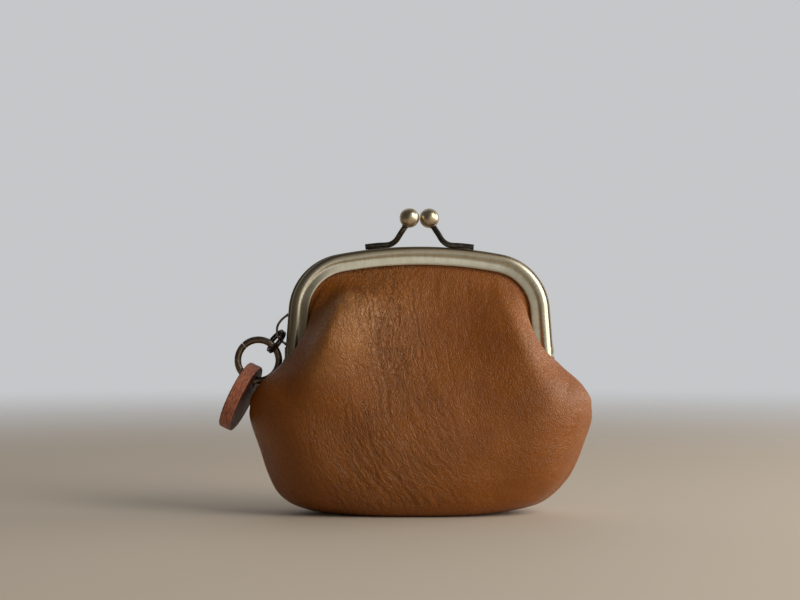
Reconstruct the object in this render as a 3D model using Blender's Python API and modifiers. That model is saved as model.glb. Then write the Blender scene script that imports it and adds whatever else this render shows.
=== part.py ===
"""Kiss-lock coin purse: a leather pouch held by a hinged brass channel frame with a ball clasp,
and a round leather charm hanging from the frame on two rings.

Metres, +Z up. The origin is the middle of the flat base that the purse stands on. +X runs along the
frame and -Y is the front. Both frame halves turn on one axis along X through the side rivets.
"""

import math

import bmesh
import bpy
from mathutils import Matrix, Vector

MM = 0.001

# Frame: the arch of each half, in the XZ plane, as the outer edge of its channel.
TOP_Z = 85.1 * MM
TOP_RADIUS = 140.0 * MM
CORNER_RADIUS = 19.0 * MM
LEG_X = 42.2 * MM  # outer face of the leg at LEG_REF_Z
LEG_REF_Z = 50.0 * MM
LEG_FLARE = math.radians(4.4)
LEG_END_Z = 50.3 * MM
BACK_OFFSET = 0.95 * MM  # the back legs straddle the front ones
BACK_RISE = 0.25 * MM

# Frame: the folded channel. Widths run inwards from the outer edge, depths run from the mating plane.
BAND_WIDTH = 5.7 * MM
LIP_WIDTH = 5.2 * MM
CHANNEL_DEPTH = 4.25 * MM
SHEET = 0.7 * MM
EDGE_RADIUS = 1.75 * MM
MATING_GAP = 0.3 * MM

# Hinges
HINGE_Z = 47.5 * MM
EAR_RADIUS = 2.4 * MM
EAR_NECK = (0.5 * MM, 2.7 * MM)
EAR_TOP_Z = 53.0 * MM
FRONT_EAR_X = 41.9 * MM
BACK_EAR_X = 42.9 * MM
RIVET_RADIUS = 1.0 * MM
RIVET_HOLE_RADIUS = 1.1 * MM
RIVET_HEAD_RADIUS = 1.7 * MM
RIVET_HEAD = 0.55 * MM
RUNNING_GAP = 0.1 * MM

# Clasp
BALL_RADIUS = 3.15 * MM
BALL_X = 3.19 * MM  # half the spacing of the balls, which pass side by side
BALL_Z = 94.5 * MM
BALL_Y = 1.2 * MM  # how far each ball has passed the mating plane
ARM_RADIUS = 0.92 * MM
ARM_OUTER_X = 17.4 * MM
ARM_BEND_X = 9.6 * MM
ARM_TOP_X = 4.75 * MM

# Pouch: of each level section, the height, the half width on the charm's side, the other side's share
# of it, the half depth, the fullness and the pinch at the side seam.
POUCH_SECTIONS = (
    (0.0, 29.0, 0.84, 12.0, 2.6, 0.0),
    (0.7, 34.5, 0.86, 14.2, 2.7, 0.0),
    (2.8, 41.0, 0.93, 16.5, 2.9, 0.0),
    (6.6, 45.7, 0.96, 18.2, 3.1, 0.0),
    (13.0, 48.9, 1.004, 19.6, 3.3, 0.0),
    (21.0, 51.5, 1.02, 20.0, 3.5, 0.0),
    (28.0, 53.9, 1.02, 19.4, 3.8, 0.0),
    (33.0, 55.2, 1.016, 18.5, 4.1, 0.6),
    (36.5, 55.4, 1.014, 17.6, 4.4, 2.6),
    (39.4, 54.3, 1.014, 16.6, 4.6, 5.8),
    (41.8, 52.4, 1.014, 15.8, 4.8, 7.8),
    (44.0, 50.0, 1.014, 15.0, 4.8, 7.8),
    (46.2, 47.4, 1.014, 14.0, 4.8, 5.6),
)
PINCH_REACH = 3.6 * MM
RIM_DIP = 1.5 * MM
LEATHER = 1.0 * MM
LINING = 0.4 * MM
LINING_INSET = 2.2 * MM
LINING_BASE_Z = 1.7 * MM
LINING_RIM_Z = 44.8 * MM
SIDES = 36

# Flaps: the upper panels, from inside the channels down to the pouch rim.
FLAP_END_Z = 61.5 * MM
FLAP_GAP = 0.35 * MM
LEATHER_CHANNEL_Y = 3.05 * MM
LINING_CHANNEL_Y = 2.2 * MM
CORD_RADIUS = 0.42 * MM
CORD_CHANNEL_Y = 1.42 * MM

# Side loop, rings and charm. Their centres lie in planes of constant Y behind the mating plane.
LOOP_RADIUS = 0.38 * MM
LOOP_Y = 2.3 * MM
LOOP_TOP_Z = 63.37 * MM
LOOP_BOTTOM_Z = 54.09 * MM
CHARM_RING_CENTRE = Vector((-51.8 * MM, 1.88 * MM, 48.8 * MM))
CHARM_RING_RADIUS = 6.6 * MM
CHARM_RING_WIRE = 1.12 * MM
CHARM_RING_SEAM = 0.15 * MM
LINK_ANGLE = math.radians(46.18)  # where the link ring sits on the charm ring, above its right side
LINK_RADIUS = 3.85 * MM
LINK_WIRE = 0.42 * MM
LINK_PITCH = 0.88 * MM
LINK_TO_CHARM_RING = 1.743 * MM
LINK_TO_LOOP = 3.347 * MM
LINK_AXIS = Vector((-0.725, -0.254, 0.616))
CHARM_LEAN = math.radians(25.7)
CHARM_TURN = math.radians(7.0)  # about its own upward direction, inner face towards the front
CHARM_RADIUS = 11.35 * MM
CHARM_THICKNESS = 3.9 * MM
CHARM_HOLE_RADIUS = 2.0 * MM
CHARM_HOLE_OFFSET = 6.35 * MM
CHARM_EDGE = 0.35 * MM

BRASS = (0.45, 0.39, 0.27)
DARK_BRASS = (0.10, 0.08, 0.06)
BALL_BRASS = (0.52, 0.40, 0.24)
TAN = (0.42, 0.18, 0.035)
CLOTH = (0.55, 0.47, 0.34)
KRAFT = (0.48, 0.36, 0.24)
RUSSET = (0.30, 0.09, 0.04)


def clear_scene():
    for obj in list(bpy.data.objects):
        bpy.data.objects.remove(obj)


def make_collections():
    parts = bpy.data.collections.new("coin_purse")
    tools = bpy.data.collections.new("construction")
    for collection in (parts, tools):
        bpy.context.scene.collection.children.link(collection)
    return parts, tools


clear_scene()
PARTS, TOOLS = make_collections()


def material(name, colour, roughness, metallic=0.0):
    made = bpy.data.materials.new(name)
    made.use_nodes = True
    shader = made.node_tree.nodes["Principled BSDF"]
    shader.inputs["Base Color"].default_value = (*colour, 1.0)
    shader.inputs["Roughness"].default_value = roughness
    shader.inputs["Metallic"].default_value = metallic
    return made


def add(name, data, collection=PARTS):
    obj = bpy.data.objects.new(name, data)
    collection.objects.link(obj)
    return obj


def finish(obj, finish_material):
    obj.data.materials.clear()
    obj.data.materials.append(finish_material)
    if obj.type == "MESH":
        obj.data.shade_smooth()
        obj.data.set_sharp_from_angle(angle=math.radians(40))
    return obj


def hide_tool(obj):
    obj.hide_render = True
    obj.display_type = "WIRE"
    return obj


def poly_curve(name, points, closed=False, flat=False, collection=PARTS):
    """A curve object through points, each (x, y) or (x, y, z)."""
    curve = bpy.data.curves.new(name, "CURVE")
    curve.dimensions = "2D" if flat else "3D"
    add_spline(curve, points, closed)
    return add(name, curve, collection)


def add_spline(curve, points, closed):
    spline = curve.splines.new("POLY")
    spline.points.add(len(points) - 1)
    for target, point in zip(spline.points, points):
        target.co = (*point, 1.0) if len(point) == 3 else (*point, 0.0, 1.0)
    spline.use_cyclic_u = closed


def wire(name, points, radius, closed=False):
    obj = poly_curve(name, points, closed)
    obj.data.bevel_depth = radius
    obj.data.bevel_resolution = 2
    obj.data.use_fill_caps = not closed
    return obj


def as_mesh(obj, collection):
    """Replaces a curve object with a mesh object of the same name and place, its caps welded."""
    bpy.context.view_layer.update()
    graph = bpy.context.evaluated_depsgraph_get()
    mesh = bpy.data.meshes.new_from_object(obj.evaluated_get(graph), depsgraph=graph)
    form = bmesh.new()
    form.from_mesh(mesh)
    bmesh.ops.remove_doubles(form, verts=form.verts, dist=1e-6)
    bmesh.ops.recalc_face_normals(form, faces=form.faces)
    form.to_mesh(mesh)
    form.free()
    name, place = obj.name, obj.matrix_world.copy()
    bpy.data.objects.remove(obj)
    made = add(name, mesh, collection)
    made.matrix_world = place
    return made


def pivot(name, location):
    """An empty on a joint's axis, which the moving pieces hang from."""
    empty = bpy.data.objects.new(name, None)
    empty.location = location
    TOOLS.objects.link(empty)
    return empty


def hang(pieces, empty):
    """Parents pieces to a pivot without moving them."""
    bpy.context.view_layer.update()
    for piece in pieces:
        piece.parent = empty
        piece.matrix_parent_inverse = empty.matrix_world.inverted()


def arc(centre, radius, start, end, steps):
    """Points from one angle to another, both counted from +X towards the second axis."""
    angles = [start + (end - start) * i / steps for i in range(steps + 1)]
    return [(centre[0] + radius * math.cos(a), centre[1] + radius * math.sin(a)) for a in angles]


def smooth_route(points, steps):
    """Points along a Catmull-Rom curve through the given ones."""
    ends = [2 * points[0] - points[1], *points, 2 * points[-1] - points[-2]]
    route = []
    for a, b, c, d in zip(ends, ends[1:], ends[2:], ends[3:]):
        for i in range(steps):
            t = i / steps
            bend = (2 * a - 5 * b + 4 * c - d) * t * t + (3 * b - a - 3 * c + d) * t**3
            route.append((2 * b + (c - a) * t + bend) / 2)
    return [*route, points[-1]]


# ---- Frame ----


def arch_stations(leg_end_z, outset=0.0, rise=0.0, top_steps=5, corner_steps=7, leg_steps=3):
    """Stations along a half's outer edge, left leg to right leg: (x, z, inward x, inward z)."""
    top = (0.0, TOP_Z + rise - TOP_RADIUS)
    out = (math.cos(LEG_FLARE), math.sin(LEG_FLARE))
    along = (-out[1], out[0])
    leg = out[0] * (LEG_X + outset) + out[1] * LEG_REF_Z
    # The corner arc touches both the leg's line and the top arc.
    q = [out[i] * (leg - CORNER_RADIUS) - top[i] for i in (0, 1)]
    dot = q[0] * along[0] + q[1] * along[1]
    reach = (TOP_RADIUS - CORNER_RADIUS) ** 2
    slide = -dot + math.sqrt(dot * dot - q[0] ** 2 - q[1] ** 2 + reach)
    corner = [top[i] + q[i] + along[i] * slide for i in (0, 1)]
    turn = math.atan2(corner[0] - top[0], corner[1] - top[1])
    right = []
    for i in range(top_steps + 1):
        a = turn * i / top_steps
        right.append((math.sin(a) * TOP_RADIUS, top[1] + math.cos(a) * TOP_RADIUS, a))
    leg_turn = math.pi / 2 - LEG_FLARE
    for i in range(1, corner_steps + 1):
        a = turn + (leg_turn - turn) * i / corner_steps
        x = corner[0] + math.sin(a) * CORNER_RADIUS
        right.append((x, corner[1] + math.cos(a) * CORNER_RADIUS, a))
    start_x, start_z, _ = right[-1]
    for i in range(1, leg_steps + 1):
        z = start_z + (leg_end_z - start_z) * i / leg_steps
        right.append((start_x + (start_z - z) * math.tan(LEG_FLARE), z, leg_turn))
    right = [(x, z, -math.sin(a), -math.cos(a)) for x, z, a in right]
    left = [(-x, z, -dx, dz) for x, z, dx, dz in reversed(right[1:])]
    return left + right


def inset_path(stations, inset):
    return [(x + dx * inset, z + dz * inset) for x, z, dx, dz in stations]


def channel_section():
    """The folded channel: web at the outer edge, face wall at full depth, lip at the mating plane."""
    inner_radius = EDGE_RADIUS - SHEET
    near = (EDGE_RADIUS, CHANNEL_DEPTH - EDGE_RADIUS)
    outer_edge = arc(near, EDGE_RADIUS, math.pi, math.pi / 2, 5)
    inner_edge = arc(near, inner_radius, math.pi / 2, math.pi, 2)
    return [
        (LIP_WIDTH, 0.0),
        (0.3 * MM, 0.0),
        (0.0, 0.3 * MM),
        *outer_edge,
        (BAND_WIDTH, CHANNEL_DEPTH),
        (BAND_WIDTH, CHANNEL_DEPTH - SHEET),
        *inner_edge,
        (SHEET, SHEET),
        (LIP_WIDTH, SHEET),
    ]


def ear(name, x, facing):
    """A hinge ear: a round plate on the hinge axis with a neck up into the leg, and a rivet hole."""
    neck_low, neck_high = EAR_NECK
    start = math.asin(neck_low / EAR_RADIUS)
    around = arc((0.0, 0.0), EAR_RADIUS, math.pi / 2 + start, -math.pi, 18)
    outline = [(-neck_low, EAR_TOP_Z - HINGE_Z), *around]
    outline += [(-neck_high, 2.2 * MM), (-neck_high, EAR_TOP_Z - HINGE_Z)]
    plate = poly_curve(name, outline, closed=True, flat=True, collection=TOOLS)
    add_spline(plate.data, arc((0.0, 0.0), RIVET_HOLE_RADIUS, 0.0, math.tau, 16)[:-1], True)
    plate.data.fill_mode = "BOTH"
    plate.data.extrude = SHEET / 2
    side = Matrix.Scale(facing, 4, (0, 1, 0))
    upright = Matrix(((0, 0, 1, 0), (1, 0, 0, 0), (0, 1, 0, 0), (0, 0, 0, 1)))
    made = as_mesh(plate, TOOLS)
    made.data.transform(side @ upright)
    if facing < 0:
        made.data.flip_normals()
    made.location = (x, 0.0, HINGE_Z)
    return hide_tool(made)


def frame_half(name, outset, rise, ear_x, facing, finish_material):
    """One half of the frame. It is made facing the front, and turned round for the back."""
    stations = arch_stations(LEG_END_Z, outset, rise)
    section = poly_curve(name + "_section", channel_section(), closed=True, flat=True, collection=TOOLS)
    half = poly_curve(name, inset_path(stations, 0.0), flat=True)
    half.data.bevel_mode = "OBJECT"
    half.data.bevel_object = section
    half.data.use_fill_caps = True
    half.rotation_euler = (math.pi / 2, 0.0, 0.0 if facing > 0 else math.pi)
    half.location = (0.0, -facing * MATING_GAP / 2, 0.0)
    half = as_mesh(half, PARTS)
    bpy.data.objects.remove(section)
    for side in (-1, 1):
        joined = half.modifiers.new("ear", "BOOLEAN")
        joined.operation = "UNION"
        joined.solver = "EXACT"
        joined.object = ear(f"{name}_ear_{side}", side * ear_x, facing)
    return finish(half, finish_material)


def hinge_rivet(name, side, finish_material):
    """A shouldered rivet through both ears, turned about the hinge axis."""
    inner = FRONT_EAR_X - SHEET / 2 - RUNNING_GAP
    outer = BACK_EAR_X + SHEET / 2 + RUNNING_GAP
    crown = RIVET_HEAD_RADIUS * 0.55
    profile = [
        (0.0, outer + RIVET_HEAD),
        (crown, outer + RIVET_HEAD),
        (RIVET_HEAD_RADIUS, outer + RIVET_HEAD * 0.4),
        (RIVET_HEAD_RADIUS, outer),
        (RIVET_RADIUS, outer),
        (RIVET_RADIUS, inner),
        (RIVET_HEAD_RADIUS * 0.9, inner),
        (RIVET_HEAD_RADIUS * 0.9, inner - RIVET_HEAD * 0.8),
        (0.0, inner - RIVET_HEAD * 0.8),
    ]
    mesh = bpy.data.meshes.new(name)
    mesh.from_pydata([(r, 0.0, z) for r, z in profile], [(i, i + 1) for i in range(8)], [])
    rivet = add(name, mesh)
    turned = rivet.modifiers.new("turned", "SCREW")
    turned.steps = turned.render_steps = 20
    turned.use_merge_vertices = True
    turned.merge_threshold = 1e-6
    rivet.rotation_euler = (0.0, side * math.pi / 2, 0.0)
    rivet.location = (0.0, 0.0, HINGE_Z)
    return finish(rivet, finish_material)


def paper_cord(name, outset, rise, facing, finish_material):
    """The twisted paper cord that wedges the leather into the channel."""
    stations = arch_stations(LEG_END_Z + 2.0 * MM, outset, rise)
    route = [(x, -facing * CORD_CHANNEL_Y, z) for x, z in inset_path(stations, 2.6 * MM)]
    return finish(wire(name, route, CORD_RADIUS), finish_material)


# ---- Clasp ----


def arch_height(x, rise):
    return TOP_Z + rise - TOP_RADIUS + math.sqrt(TOP_RADIUS**2 - x * x)


def clasp_arm(name, side, facing, rise, finish_material):
    """A bent wire: a foot along the frame's crown, then a rise that crosses to the other half."""
    lift = ARM_RADIUS + 0.12 * MM
    own_y = -facing * (MATING_GAP / 2 + CHANNEL_DEPTH / 2)
    ball = Vector((side * BALL_X, facing * BALL_Y, BALL_Z))
    seat = Vector((side * ARM_TOP_X, facing * 0.6 * MM, BALL_Z - BALL_RADIUS))
    end = ball + (seat - ball).normalized() * (BALL_RADIUS + 0.1 * MM)
    foot = [
        Vector((side * x, own_y, arch_height(x, rise) + lift))
        for x in (ARM_OUTER_X, (ARM_OUTER_X + ARM_BEND_X) / 2, ARM_BEND_X)
    ]
    knee = Vector((side * (ARM_BEND_X - 2.1 * MM), own_y * 0.8, foot[-1].z + 1.3 * MM))
    middle = knee.lerp(end, 0.5)
    route = smooth_route([*foot, knee, middle, end], 3)
    return finish(wire(name, route, ARM_RADIUS), finish_material)


def clasp_ball(name, side, facing, finish_material):
    location = (side * BALL_X, facing * BALL_Y, BALL_Z)
    bpy.ops.mesh.primitive_uv_sphere_add(segments=20, ring_count=12, radius=BALL_RADIUS, location=location)
    ball = bpy.context.active_object
    ball.name = name
    for collection in ball.users_collection:
        collection.objects.unlink(ball)
    PARTS.objects.link(ball)
    return finish(ball, finish_material)


# ---- Leather and lining ----


def loft(name, rows, closed, thickness, cap_first=False):
    """A sheet through rows of points, thickened inwards from its outer side."""
    form = bmesh.new()
    grid = [[form.verts.new(point) for point in row] for row in rows]
    count = len(grid[0])
    for low, high in zip(grid, grid[1:]):
        for i in range(count if closed else count - 1):
            j = (i + 1) % count
            form.faces.new((low[i], low[j], high[j], high[i]))
    if cap_first:
        form.faces.new(list(reversed(grid[0])))
    mesh = bpy.data.meshes.new(name)
    form.to_mesh(mesh)
    form.free()
    sheet = add(name, mesh)
    shell = sheet.modifiers.new("thickness", "SOLIDIFY")
    shell.thickness = thickness
    shell.offset = -1.0 if cap_first else 0.0
    return sheet


def section_depth(x, half_width, half_depth, fullness):
    """How far the front of a level section stands from the mating plane at x."""
    share = min(1.0, abs(x) / half_width) ** fullness
    return half_depth * (1.0 - share) ** (1.0 - 0.1 * fullness)


def pouch_row(section, inset, base_z, rim_z):
    """One level loop of the pouch, drawn in at the side seams where the rings and hinges need room."""
    height, half_width, right_share, half_depth, fullness, pinch = section
    half_width = half_width * MM - inset
    half_depth = half_depth * MM - inset
    top = POUCH_SECTIONS[-1][0]
    z = base_z + (rim_z - base_z) * height / top
    row = []
    for i in range(SIDES):
        a = math.tau * i / SIDES
        along = math.copysign(abs(math.cos(a)) ** (2.0 / fullness), math.cos(a))
        x = half_width * along
        y = math.copysign(section_depth(x, half_width, half_depth, fullness), math.sin(a))
        side = math.exp(-((y / PINCH_REACH) ** 4)) if abs(along) > 0.5 else 0.0
        drawn_x = x - math.copysign(pinch * MM * side, x)
        drawn_x *= right_share if x > 0 else 1.0
        row.append((drawn_x, y, z - RIM_DIP * side * (height / top) ** 6))
    return row


def pouch(name, inset, base_z, rim_z, thickness, finish_material):
    rows = [pouch_row(section, inset, base_z, rim_z) for section in POUCH_SECTIONS]
    return finish(loft(name, rows, True, thickness, cap_first=True), finish_material)


def flap(name, facing, sheet, finish_material):
    """An upper panel: out of one channel, over its edge, and down to the pouch rim.

    sheet holds the channel depth, how far the sheet stands forward of its channel beside the legs,
    the half width and height of its lower edge, its inset from the pouch and its thickness.
    """
    channel_y, side_step, low_half_width, low_z, inset, thickness = sheet
    outset, rise = (0.0, 0.0) if facing > 0 else (BACK_OFFSET, BACK_RISE)
    stations = arch_stations(FLAP_END_Z, outset, rise, top_steps=4, corner_steps=6, leg_steps=1)
    columns = [Vector((x, z)) for x, z, _, _ in stations]
    lengths = [0.0]
    for a, b in zip(columns, columns[1:]):
        lengths.append(lengths[-1] + (b - a).length)
    _, half_width, _, half_depth, fullness, _ = POUCH_SECTIONS[-1]
    rim_width = half_width * MM - inset
    rows = [[] for _ in range(9)]
    for station, length in zip(stations, lengths):
        along = 2.0 * length / lengths[-1] - 1.0
        side = abs(along) ** 3
        at = [inset_path([station], d * MM)[0] for d in (1.7, 6.3, 7.0)]
        depths = [channel_y, channel_y, channel_y + 0.3 * MM + side_step * side]
        low_x = math.copysign(low_half_width * abs(along) ** 1.1, along)
        low_y = section_depth(low_x, rim_width, half_depth * MM - inset, fullness)
        points = [(x, y, z) for (x, z), y in zip(at, depths)]
        start = Vector(points[-1])
        end = Vector((low_x, low_y, low_z))
        for i in range(1, 7):
            t = i / 6
            swell = (1.2 + 1.4 * side * min(1.0, side_step / MM)) * MM * math.sin(math.pi * t)
            points.append(start.lerp(end, t) + Vector((0.0, swell, 0.0)))
        for row, (x, y, z) in zip(rows, points):
            row.append((x, -facing * y, z))
    made = loft(name, rows, False, thickness)
    if facing > 0:
        made.data.flip_normals()
    return finish(made, finish_material)


# ---- Side loop, rings and charm ----


def side_loop(name, finish_material):
    """A D-shaped wire brazed by both ends to the back half's left leg."""
    leg_x = LEG_X + BACK_OFFSET
    top_x = -(leg_x - (LOOP_TOP_Z - LEG_REF_Z) * math.tan(LEG_FLARE) + LOOP_RADIUS)
    low_x = -(leg_x - (LOOP_BOTTOM_Z - LEG_REF_Z) * math.tan(LEG_FLARE) + LOOP_RADIUS)
    points = [
        Vector((top_x, LOOP_Y, LOOP_TOP_Z)),
        Vector((top_x - 1.8 * MM, LOOP_Y, LOOP_TOP_Z - 1.5 * MM)),
        Vector((top_x - 3.1 * MM, LOOP_Y, LOOP_TOP_Z - 3.4 * MM)),
        Vector((top_x - 3.3 * MM, LOOP_Y, LOOP_TOP_Z - 5.6 * MM)),
        Vector((low_x - 1.86 * MM, LOOP_Y, LOOP_BOTTOM_Z + 1.6 * MM)),
        Vector((low_x, LOOP_Y, LOOP_BOTTOM_Z)),
    ]
    return finish(wire(name, smooth_route(points, 3), LOOP_RADIUS), finish_material)


def ring_point(angle):
    """A point on the charm ring's wire, counted from +X towards +Z."""
    return CHARM_RING_CENTRE + CHARM_RING_RADIUS * Vector((math.cos(angle), 0.0, math.sin(angle)))


def charm_ring(name, finish_material):
    """A round wire ring, open by a hair at its butt seam."""
    half_gap = CHARM_RING_SEAM / 2 / CHARM_RING_RADIUS
    start = math.radians(133.0) + half_gap
    turn = math.tau - 2 * half_gap
    points = [ring_point(start + turn * i / 36) for i in range(37)]
    ring = wire(name, points, CHARM_RING_WIRE)
    return finish(ring, finish_material)


def link_frame():
    """Where the link ring's axis, long axis and centre lie, and its two points of contact."""
    axis = LINK_AXIS.normalized()
    charm_contact = ring_point(LINK_ANGLE)
    radial = Vector((math.cos(LINK_ANGLE), 0.0, math.sin(LINK_ANGLE)))
    radial = (radial - axis * radial.dot(axis)).normalized()
    centre = charm_contact + radial * LINK_TO_CHARM_RING
    return axis, radial, centre, charm_contact, centre + radial * LINK_TO_LOOP


def link_ring(name, finish_material):
    """A split ring of two touching coils."""
    axis, radial, centre, _, _ = link_frame()
    across = axis.cross(radial)
    coils = 2
    steps = 22 * coils
    points = []
    for i in range(steps + 1):
        turn = coils * math.tau * i / steps
        lift = LINK_PITCH * (coils * i / steps - coils / 2)
        around = radial * math.cos(turn + 2.0) + across * math.sin(turn + 2.0)
        points.append(centre + around * LINK_RADIUS + axis * lift)
    return finish(wire(name, points, LINK_WIRE), finish_material)


def charm_frame():
    """The charm's upward direction, its face normal, its hole's centre and its own centre."""
    up = Vector((math.sin(CHARM_LEAN), 0.0, math.cos(CHARM_LEAN)))
    level = Vector((math.cos(CHARM_LEAN), 0.0, -math.sin(CHARM_LEAN)))
    normal = level * math.cos(CHARM_TURN) - Vector((0.0, math.sin(CHARM_TURN), 0.0))
    hole = CHARM_RING_CENTRE - CHARM_RING_RADIUS * up
    return up, normal, hole, hole - up * CHARM_HOLE_OFFSET


def charm(name, finish_material):
    """A thick leather disc with a hole near its rim, its cut edge slightly rounded."""
    up, normal, _, centre = charm_frame()
    disc = poly_curve(name, arc((0.0, 0.0), CHARM_RADIUS, 0.0, math.tau, 40)[:-1], True, True)
    hole_at = (0.0, CHARM_HOLE_OFFSET)
    add_spline(disc.data, arc(hole_at, CHARM_HOLE_RADIUS, 0.0, math.tau, 16)[:-1], True)
    disc.data.fill_mode = "BOTH"
    disc.data.extrude = CHARM_THICKNESS / 2
    disc = as_mesh(disc, PARTS)
    rounded = disc.modifiers.new("rounded", "BEVEL")
    rounded.width = CHARM_EDGE
    rounded.segments = 2
    rounded.limit_method = "ANGLE"
    disc.matrix_world = Matrix.Translation(centre) @ Matrix((
        (*(-up.cross(normal)).normalized(), 0.0),
        (*up, 0.0),
        (*normal, 0.0),
        (0.0, 0.0, 0.0, 1.0),
    )).transposed()
    return finish(disc, finish_material)


def build():
    brass = material("antique_brass", BRASS, 0.38, 1.0)
    ball_brass = material("ball_brass", BALL_BRASS, 0.3, 1.0)
    dark = material("dark_brass", DARK_BRASS, 0.45, 1.0)
    tan = material("tan_leather", TAN, 0.5)
    cloth = material("lining_cloth", CLOTH, 0.9)
    kraft = material("paper_cord", KRAFT, 0.9)
    russet = material("charm_leather", RUSSET, 0.7)

    leather_sheet = (LEATHER_CHANNEL_Y, 2.3 * MM, 45.8 * MM, 46.2 * MM + FLAP_GAP, LEATHER / 2, LEATHER)
    lining_sheet = (LINING_CHANNEL_Y, 0.0, 33.0 * MM, LINING_RIM_Z + FLAP_GAP, LINING_INSET, LINING)

    pouch("leather_body", 0.0, 0.0, 46.2 * MM, LEATHER, tan)
    pouch("lining_body", LINING_INSET, LINING_BASE_Z, LINING_RIM_Z, LINING, cloth)

    halves = {
        "front": (1, 0.0, 0.0, FRONT_EAR_X, 1),
        "back": (-1, BACK_OFFSET, BACK_RISE, BACK_EAR_X, -1),
    }
    for half, (facing, outset, rise, ear_x, side) in halves.items():
        turning = [
            frame_half(f"{half}_frame", outset, rise, ear_x, facing, brass),
            clasp_arm(f"{half}_clasp_arm", side, facing, rise, dark),
            clasp_ball(f"{half}_clasp_ball", side, facing, ball_brass),
            paper_cord(f"{half}_paper_cord", outset, rise, facing, kraft),
            flap(f"{half}_leather_flap", facing, leather_sheet, tan),
            flap(f"{half}_lining_flap", facing, lining_sheet, cloth),
        ]
        if half == "back":
            turning.append(hinge_rivet("left_hinge_rivet", -1, dark))
            turning.append(hinge_rivet("right_hinge_rivet", 1, dark))
            turning.append(side_loop("side_loop", dark))
        hang(turning, pivot(f"{half}_hinge_axis", (0.0, 0.0, HINGE_Z)))

    _, _, _, charm_contact, loop_contact = link_frame()
    hang([link_ring("link_ring", dark)], pivot("link_ring_pivot", loop_contact))
    hang([charm_ring("charm_ring", dark)], pivot("charm_ring_pivot", charm_contact))
    hang([charm("leather_charm", russet)], pivot("charm_pivot", charm_frame()[2]))


build()
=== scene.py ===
"""Looks for the kiss-lock coin purse: leather, brass, rings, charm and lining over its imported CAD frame.

Shapes are worked out in millimetres in the row frame, +X to the side without the charm, -Y to the front,
+Z up, and scaled to metres as each mesh is made. Each piece keeps its resting points as a mesh attribute,
which the procedural materials read, so grain and weave stay put when the purse opens.
"""

from math import asin, atan2, cos, hypot, pi, radians, sin, sqrt, tan, tau

import bpy
import numpy as np
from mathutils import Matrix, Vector, noise


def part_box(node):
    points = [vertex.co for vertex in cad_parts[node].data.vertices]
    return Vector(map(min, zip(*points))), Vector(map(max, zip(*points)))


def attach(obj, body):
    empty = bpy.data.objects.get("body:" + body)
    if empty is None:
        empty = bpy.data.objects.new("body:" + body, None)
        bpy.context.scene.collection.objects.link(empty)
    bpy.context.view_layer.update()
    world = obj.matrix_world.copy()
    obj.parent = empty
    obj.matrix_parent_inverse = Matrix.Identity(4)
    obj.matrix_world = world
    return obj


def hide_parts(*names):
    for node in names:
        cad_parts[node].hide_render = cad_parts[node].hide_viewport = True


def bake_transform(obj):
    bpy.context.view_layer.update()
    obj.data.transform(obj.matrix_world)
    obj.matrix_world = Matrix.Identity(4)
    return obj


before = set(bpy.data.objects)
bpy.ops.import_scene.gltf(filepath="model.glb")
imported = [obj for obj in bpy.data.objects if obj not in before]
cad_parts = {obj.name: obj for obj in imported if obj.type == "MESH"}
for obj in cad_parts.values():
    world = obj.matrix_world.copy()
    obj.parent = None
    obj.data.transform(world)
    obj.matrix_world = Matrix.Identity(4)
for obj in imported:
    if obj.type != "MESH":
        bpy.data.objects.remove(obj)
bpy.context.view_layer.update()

MM = 0.001
TIP = 0.001  # the radius that a closed end runs in to

# The frame's arch and channel, as the CAD has them. The back half is a little wider and higher.
TOP_Z, TOP_RADIUS, CORNER_RADIUS = 85.1, 140, 19
LEG_X, LEG_REF_Z, LEG_FLARE, LEG_END_Z = 42.2, 50, radians(4.4), 50.3
BACK_OFFSET, BACK_RISE = 0.95, 0.25
HALVES = {1: ("front", 0, 0), -1: ("back", BACK_OFFSET, BACK_RISE)}  # which way a half faces, and what it is
BAND, LIP, DEPTH, SHEET, GAP, DISH = 5.7, 5.2, 4.25, 0.7, 0.3, 0.3
BEAD_WIDTH, BEAD_HEIGHT, EAR_PATINA = 2.1, 1.3, 0.3
CORD_INSET, CORD_Y, CORD_RADIUS, CORD_SIDES, CORD_PITCH = 2.6, 1.42, 0.42, 18, 0.5
HINGE_Z, EAR_RADIUS, EAR_TOP_Z = 47.5, 2.4, 53
EAR_X = {"front": 41.9, "back": 42.9}
RIVET_RADIUS, RIVET_HOLE, RIVET_HEAD_RADIUS, RIVET_HEAD, RUNNING_GAP = 1, 1.1, 1.7, 0.55, 0.1

# Clasp
BALL_RADIUS, BALL_Z = 3.15, 94.5
ARM_RADIUS, ARM_OUTER_X, ARM_BEND_X, ARM_TOP_X, BRAZE_SPREAD = 0.92, 17.4, 9.6, 4.75, 1.7

# Pouch: of each level section, the height, the half width on the charm's side, the other side's share
# of it, the half depth, the fullness and the pinch at the side seam.
SECTIONS = np.array((
    (0, 29, 0.84, 12, 2.6, 0), (0.7, 34.5, 0.86, 14.2, 2.7, 0),
    (2.8, 41, 0.93, 16.5, 2.9, 0), (6.6, 45.7, 0.96, 18.2, 3.1, 0),
    (13, 48.9, 1.004, 19.6, 3.3, 0), (21, 51.5, 1.02, 20, 3.5, 0),
    (28, 53.9, 1.02, 19.4, 3.8, 0), (33, 55.2, 1.016, 18.5, 4.1, 0.6),
    (36.5, 55.4, 1.014, 17.6, 4.4, 2.6), (39.4, 54.3, 1.014, 16.6, 4.6, 5.8),
    (41.8, 52.4, 1.014, 15.8, 4.8, 7.8), (44, 50, 1.014, 15, 4.8, 7.8),
    (46.2, 47.4, 1.014, 14, 4.8, 5.6),
))
PINCH_REACH, RIM_DIP, RING_STEPS = 3.6, 1.5, 1201
MOUTH_INSET, MOUTH_END_Z, SHOULDER_SMOOTHING = 6.3, 51, 0.0065
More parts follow.
